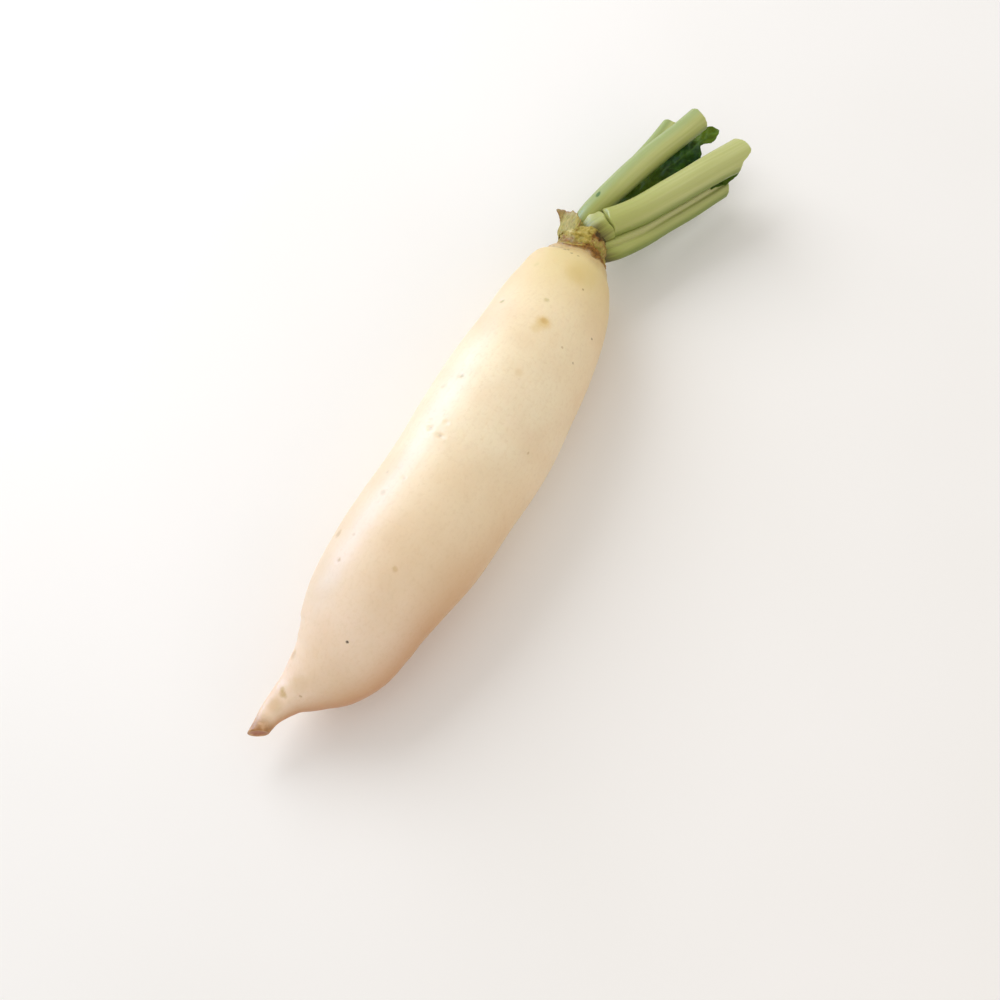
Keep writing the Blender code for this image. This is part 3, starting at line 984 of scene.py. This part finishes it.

# Fresh stalk skin: pale green, waxy and ribbed, with a painted mint sheen on the side that
# faces the sky and painted olive shade below. A cut end shows white pith with a ring of
# darker strands.
stalk_skin, tree, shader = new_material(
    "ribbed_stalk_skin",
    Roughness=0.38,
    IOR=1.42,
    Subsurface_Weight=0.25,
    Subsurface_Radius=(0.7, 1.0, 0.3),
    Subsurface_Scale=0.003,
)
grain = add_node(tree, "Attribute", {}, attribute_name="grain").outputs["Vector"]
of_stalk = {
    key: add_node(tree, "Attribute", {}, attribute_name=key).outputs["Fac"]
    for key in ("sky_side", "from_crown", "cut", "ridge", "torn")
}
mm = place_in_mm(tree)
ribbed = add_node(tree, "VectorMath", {0: grain, 1: (1.0, 1.0, 0.035)}, operation="MULTIPLY")
ribs, broad = (
    add_node(tree, "TexNoise", {"Vector": ribbed, "Scale": per_mm, "Detail": detail})
    for per_mm, detail in ((0.8, 4.0), (0.2, 2.0))
)
both = add_node(tree, "Mix", {"Factor": 0.6, "A": ribs, "B": broad}, data_type="FLOAT")
green = add_node(
    tree, "ValToRGB", {"Fac": both}, ramp=[(0.35, "AEB36C"), (0.5, "B6BA76"), (0.65, "BEC182")]
)
# Greener towards the crown, painted olive shade on the side turned away from the sky, and a
# painted mint sheen on the side that faces it: what is measured, where it starts and is
# whole, strength, tint.
STALK_TINTS = [
    ("from_crown", 42.0, 6.0, 0.6, "A5AA58"),
    ("sky_side", -0.05, -0.8, 0.85, "66791F"),
    ("sky_side", 0.5, 1.0, 0.6, "839C60"),
]
layers = []
for key, starts, whole, strength, tint in STALK_TINTS:
    mask = add_node(
        tree,
        "MapRange",
        {"Value": of_stalk[key], "From Min": starts, "From Max": whole, "To Max": strength},
        **SOFTLY,
    )
    layers.append((mask, tint))
# Dark olive and brown where the stalks leave the crown, drawn out along their fibres: partly
# their own colour and partly painted shade where they meet the crown.
rooted = add_node(
    tree, "Math", {0: ribs, 1: -9.0, 2: of_stalk["from_crown"]}, operation="MULTIPLY_ADD"
)
at_base = add_node(
    tree, "MapRange", {"Value": rooted, "From Min": 4.0, "From Max": -11.0}, **SOFTLY
)
base_tint = add_node(
    tree,
    "ValToRGB",
    {"Fac": at_base},
    ramp=[(0.0, "9EA648"), (0.35, "80861E"), (0.6, "6A660C"), (0.85, "524400")],
)
# A small dark fleck on the upper stalk, drawn out along it.
FLECK = (317.9, 17.9, 35.8)
from_fleck = add_node(
    tree, "VectorMath", {0: mm, 1: tuple(-(np.array(FLECK) + origin))}, operation="ADD"
)
from_fleck = add_node(
    tree, "VectorMath", {0: from_fleck, 1: (0.65, 1.2, 1.2)}, operation="MULTIPLY"
)
fleck_away = add_node(tree, "VectorMath", {0: from_fleck}, operation="LENGTH")
fleck = add_node(
    tree, "MapRange", {"Value": fleck_away, "From Min": 1.5, "From Max": 0.9, "To Max": 0.9}
)
strands = add_node(tree, "TexVoronoi", {"Vector": grain, "Scale": 0.8})
pith = add_node(
    tree, "ValToRGB", {"Fac": strands}, ramp=[(0.05, "B4BE86"), (0.25, "D6D8AE"), (0.6, "E4E2C0")]
)
layers += [
    (of_stalk["ridge"], "B8B286"),
    (at_base, base_tint),
    (of_stalk["torn"], "D2D4A8"),
    (fleck, "3C6400"),
    (of_stalk["cut"], pith),
]
stalk_colour = green
for mask, tint in layers:
    stalk_colour = add_node(
        tree, "Mix", {"Factor": mask, "A": stalk_colour, "B": tint}, data_type="RGBA"
    )
feed(tree, stalk_colour, shader.inputs["Base Color"])
bumps = add_node(tree, "Bump", {"Height": ribs, "Strength": 0.25, "Distance": 0.0003})
feed(tree, bumps, shader.inputs["Normal"])

# The knife came from above and a little to the left. The sky is above and further left.
CUT_TURN = 20
SKY_TURN = 50
# The crack between the snapped stalk and its base wanders by about a millimetre.
CRACK_WANDER = 1.6
# The skin is dark at the root of each stalk, its own colour and painted shade; the root is as
# a rule at the crown's top.
CROWN_TOP = 300.0
PAST_BASE = 80.0

for name, cad_node, rows, furrows, rib_depth, painted_sky_sheen, end_back, rim in STALKS:
    path = curve_through(rows, [STALK_SPACING] * len(rows))
    along, left, up = frames_along(path[:, :3])
    turns = 360 * np.arange(STALK_SIDES) / STALK_SIDES
    a = np.radians(turns)
    form = 1 + sum(
        height * hump(turned_from(turns, around), half) for around, half, height in furrows
    )
    sideways = path[:, 3:4] / 2 * np.cos(a) * form
    upwards = path[:, 4:5] / 2 * np.sin(a) * form
    steps = np.linalg.norm(np.diff(path[:, :3], axis=0), axis=1)
    travelled = np.concatenate([[0.0], np.cumsum(steps)])[:, None]
    to_end = travelled[-1] - travelled
    grain = np.stack([sideways, upwards, np.repeat(travelled, STALK_SIDES, axis=1)], axis=2)
    relief = rib_depth * rough(grain * [1, 1, 0.03], 1.7, len(name))
    relief += 0.3 * rough(grain * [1, 1, 0.4], 9, len(name) * 2.0) + 0.03 * rough(grain, 1.2)
    facing = np.cos(a - math.radians(SKY_TURN))
    sky_side = np.where(facing > 0, painted_sky_sheen, 1.0) * facing
    root_station = np.full(STALK_SIDES, CROWN_TOP)
    ridge = torn = np.zeros_like(relief)
    crack = CRACK_WANDER * np.array(
        [noise.noise((math.cos(t) * 1.3, math.sin(t) * 1.3, 4.4)) for t in a]
    )
    crack_at_start = crack_at_end = np.zeros_like(relief)
    if name == "leaf_stalk_base":
        # A pale torn lip, below the crack on the left.
        torn = hump(turns - 18, 22) * hump(to_end - 5.0, 2.2)
        relief += 1.2 * torn + 0.25 * torn * rough(grain, 1.4, 3.0)
        crack_at_end = crack * smooth_step(6.0, 0.0, to_end)
        root_station = 303 - 8 * hump(turns - 20, 60)
    if name == "snapped_leaf_stalk":
        crack_at_start = crack * smooth_step(6.0, 0.0, travelled)
        # Painted shade along its left side, where the upper stalk shades it.
        sky_side = sky_side - 0.55 * hump(turns - 5, 28)
    if name == "lower_leaf_stalk":
        # The ridge beside its channel is painted pale, a painted highlight where the light
        # catches it.
        ridge = 0.4 * hump(turns - 99, 11) * smooth_step(8, 30, travelled)
        root_station = 292 + 6 * hump(turns - 190, 60)
        # It gets more of the painted olive shade and less of the painted sheen all along.
        sky_side = sky_side - 0.25
    size = 1 + relief / np.hypot(sideways, upwards)
    rings = (
        path[:, None, :3]
        + (sideways * size)[:, :, None] * left[:, None]
        + (upwards * size)[:, :, None] * up[:, None]
    )
    # The cut end stands back by a different amount at each side.
    places, backs = zip(*end_back)
    set_back = np.interp(np.cos(a - math.radians(CUT_TURN)), places, backs)
    set_back = (set_back + 0.25 * rough(grain[-1], 1.5, 8.0)) * smooth_step(16.0, 0.0, to_end)
    rings += along[-1] * (crack_at_end - set_back)[:, :, None]
    rings += along[0] * crack_at_start[:, :, None]
    # The last rings turn in over a rounded rim and close the cut face.
    faces = []
    for share in CUT_STEPS:
        face = drawn_in(rings[-1], share)
        round_rim = max(0.0, 1 - ((max(share, 0.7) - 0.7) / 0.3) ** 2)
        raised = rim * math.sqrt(round_rim) - 0.7 * (1 - share) + 0.15 * rough(face, 1.1, 2.0)
        faces.append(face + along[-1] * raised[:, None])
    shares = np.array(CUT_STEPS)[:, None]
    on_face = np.where(shares < 0.92, 1.0, 0.4) * np.ones(STALK_SIDES)
    count = len(path) + len(CUT_STEPS)
    past_base = np.full_like(on_face, PAST_BASE)
    stalk = closed_skin(
        name,
        np.concatenate([rings, faces]) + origin,
        {
            "grain": np.concatenate([grain, grain[-1] * shares[:, :, None]]),
            "sky_side": np.repeat(sky_side[None], count, axis=0),
            "from_crown": np.concatenate([path[:, :1] - root_station, past_base]),
            "cut": np.concatenate([np.zeros_like(relief), on_face]),
            "ridge": np.concatenate([ridge, np.zeros_like(on_face)]),
            "torn": np.concatenate([torn, np.zeros_like(on_face)]),
        },
    )
    stalk.data.materials.append(stalk_skin)
    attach(stalk, "root")
    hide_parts(cad_node)

# ---- Young leaf
# A young, dark green leaf that lies between the stalks, with a scrap of another beyond
# them. The blades are thin, lobed and crinkled between their veins.

LEAF_SPACING = 0.55
LEAF_ACROSS = 40
# Name, CAD node, thickness, distance between side veins, and along the midrib: distance
# from the tail, sideways, height, reach to the left, reach to the right.
LEAVES = [
    (
        "young_leaf_blade", "young_leaf", 0.5, 6.5,
        [
            (302, 13, 25, 1.6, 1.8),
            (310, 12, 24, 2.2, 2.4),
            (318, 10.6, 23.2, 2.6, 3.2),
            (326, 9, 22.6, 3, 5.4),
            (333, 7.2, 22.2, 3.8, 7.2),
            (341, 4.6, 21.6, 4, 7.6),
            (350, 2, 21.2, 4.4, 9.2),
            (358, -0.6, 21, 4.8, 8.8),
            (366, -3.4, 20.8, 5.2, 9.6),
            (371.5, -5, 20.6, 5, 9),
            (375.5, -6.2, 20.5, 4.6, 6.4),
            (379, -6.9, 20.4, 4.2, 2.4),
            (382.5, -7.8, 20.3, 4.4, 2),
            (386, -8.8, 20.2, 4.6, 3.8),
            (390, -10, 20.1, 4, 3.4),
            (393, -11.2, 20, 2.4, 2),
            (394.4, -11.8, 20, 0.5, 0.5),
        ],
    ),
    (
        "leaf_blade_scrap", "leaf_scrap", 0.5, 4.0,
        [
            (355.5, -25.4, 25.6, 1, 1),
            (358.5, -27, 25.9, 1.6, 2),
            (362, -28.8, 26.2, 2.4, 2.7),
            (365.5, -30.6, 26.4, 2.8, 2.7),
            (368.6, -32.2, 26.6, 2.8, 2.3),
            (371.4, -33.6, 26.7, 1.8, 1.4),
            (372.8, -34.4, 26.7, 0.5, 0.5),
        ],
    ),
]

# Leaf blade: thin, soft and slightly shiny, dark above its pale veins.
blade_skin, tree, shader = new_material(
    "crinkled_leaf_blade",
    Roughness=0.62,
    Specular_IOR_Level=0.2,
    Subsurface_Weight=0.1,
    Subsurface_Radius=(0.3, 1.0, 0.1),
    Subsurface_Scale=0.0012,
)
mm = place_in_mm(tree)
clouds = add_node(tree, "TexNoise", {"Vector": mm, "Scale": 0.16, "Detail": 4.0})
blade_colour = add_node(
    tree, "ValToRGB", {"Fac": clouds}, ramp=[(0.35, "16320A"), (0.5, "264A0A"), (0.65, "3E640A")]
)
# The lobes at both ends are yellower than the middle, and the veins are paler.
for key, tint in (("outer", "546C06"), ("vein", "52702C")):
    mask = add_node(tree, "Attribute", {}, attribute_name=key).outputs["Fac"]
    blade_colour = add_node(
        tree, "Mix", {"Factor": mask, "A": blade_colour, "B": tint}, data_type="RGBA"
    )
feed(tree, blade_colour, shader.inputs["Base Color"])
fine = add_node(tree, "TexNoise", {"Vector": mm, "Scale": 1.1, "Detail": 5.0})
bumps = add_node(tree, "Bump", {"Height": fine, "Strength": 0.5, "Distance": 0.0006})
feed(tree, bumps, shader.inputs["Normal"])

for name, cad_node, thickness, vein_spacing, rows in LEAVES:
    path = curve_through(rows, [LEAF_SPACING] * len(rows))
    along, left, up = frames_along(path[:, :3])
    side = np.linspace(1, -1, LEAF_ACROSS + 1)[None]
    reach = np.where(side > 0, path[:, 3][:, None], path[:, 4][:, None])
    serrated = np.array([noise.noise((x / 2.1, 3.0, 0.0)) for x in path[:, 0]])[:, None]
    across = side * np.maximum(reach * (1 + 0.16 * serrated * np.abs(side)), 0.3)
    slanted = path[:, :1] - 0.8 * np.abs(across)
    wandering = 1.6 * np.array([noise.noise((x / 7, 9.0, 0.0)) for x in path[:, 0]])[:, None]
    quilt = np.cos(2 * math.pi * (slanted + wandering * np.sign(side)) / vein_spacing)
    flat = path[:, None, :3] + across[:, :, None] * left[:, None]
    lift = 0.3 * quilt * smooth_step(0.4, 3.0, np.abs(across)) + 1.8 * rough(flat, 6.5, 4.0)
    lift += 0.9 * rough(flat, 2.6, 1.0) + 0.25 * np.abs(across) * np.sin(path[:, :1] / 3.1 + side)
    grid = flat + lift[:, :, None] * up[:, None]
    midrib = hump(across, 0.5)
    side_veins = smooth_step(0.9, 0.995, -quilt) * smooth_step(1.0, 0.6, np.abs(side))
    outer = smooth_step(374, 386, path[:, :1]) + smooth_step(364, 344, path[:, :1])
    if name == "leaf_blade_scrap":
        outer = 0.7
    measures = {"vein": 0.6 * np.maximum(midrib, 0.5 * side_veins), "outer": outer + 0 * across}
    blade = sheet_skin(name, grid + origin, thickness, measures)
    blade.data.materials.append(blade_skin)
    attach(blade, "root")
    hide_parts(cad_node)

# ---- Table and light
# A plain pale table, lit softly from the left by a broad window, with a weak warm light
# from the right.
TABLE_HALF = 3000.0
TABLE_CLEARANCE = 0.1
corners = np.array([(-1, -1, 0), (1, -1, 0), (1, 1, 0), (-1, 1, 0)]) * TABLE_HALF
floor = new_piece("table_top", corners, [(0, 1, 2, 3)], {})
floor.location.z = -TABLE_CLEARANCE * MM
# Matt white paint: bright and even, so that only the shadow shows on it.
paint, tree, shader = new_material("matt_white_table", Roughness=0.7)
speckle = add_node(tree, "TexNoise", {"Scale": 30.0, "Detail": 2.0})
tone = add_node(tree, "ValToRGB", {"Fac": speckle}, ramp=[(0.3, "F6F5F3"), (0.7, "F9F8F7")])
feed(tree, tone, shader.inputs["Base Color"])
floor.data.materials.append(paint)

world = bpy.data.worlds.new("studio")
world.use_nodes = True
sky = world.node_tree.nodes["Background"]
sky.inputs["Color"].default_value = linear("FBF8F4")
sky.inputs["Strength"].default_value = 0.72
bpy.context.scene.world = world

# The camera looks down steeply, along the root from the tail's side.
AIM = np.array([-0.0450, -0.0227, 0.030])
CAMERA_AWAY = 0.85
AZIMUTH = math.radians(-59.0)
ELEVATION = math.radians(67.0)
back = np.array(
    [
        math.sin(AZIMUTH) * math.cos(ELEVATION),
        -math.cos(AZIMUTH) * math.cos(ELEVATION),
        math.sin(ELEVATION),
    ]
)


def look(thing, away, target):
    """Puts a lamp or a camera at a point, looking at another."""
    thing.location = target + away
    thing.rotation_euler = Vector(-away).to_track_quat("-Z", "Y").to_euler()
    bpy.context.scene.collection.objects.link(thing)


lens = bpy.data.cameras.new("camera")
lens.lens = 65.0
lens.sensor_width = 36.0
camera = bpy.data.objects.new("camera", lens)
look(camera, back * CAMERA_AWAY, AIM)
bpy.context.scene.camera = camera

# Name, place from the aim, size, watts, colour, and whether it lights more than the gloss.
# The bright pane stands for the window's reflection in the waxy skin.
LAMPS = [
    ("window", (0.3, 0.95, 0.8), 0.9, 8.5, "FBFCFF", True),
    ("bright_pane", (0.14, 0.95, 0.12), 0.8, 15.0, "9CC2FF", False),
    ("warm_fill", (-0.2, -1.1, 0.6), 0.8, 1.5, "FFE9D0", True),
]
for name, away, size, watts, tint, diffuse in LAMPS:
    lamp = bpy.data.lights.new(name, "AREA")
    lamp.size = size
    lamp.energy = watts
    lamp.color = linear(tint)[:3]
    placed = bpy.data.objects.new(name, lamp)
    placed.visible_diffuse = diffuse
    look(placed, np.array(away), AIM)

bpy.context.scene.view_settings.view_transform = "Standard"
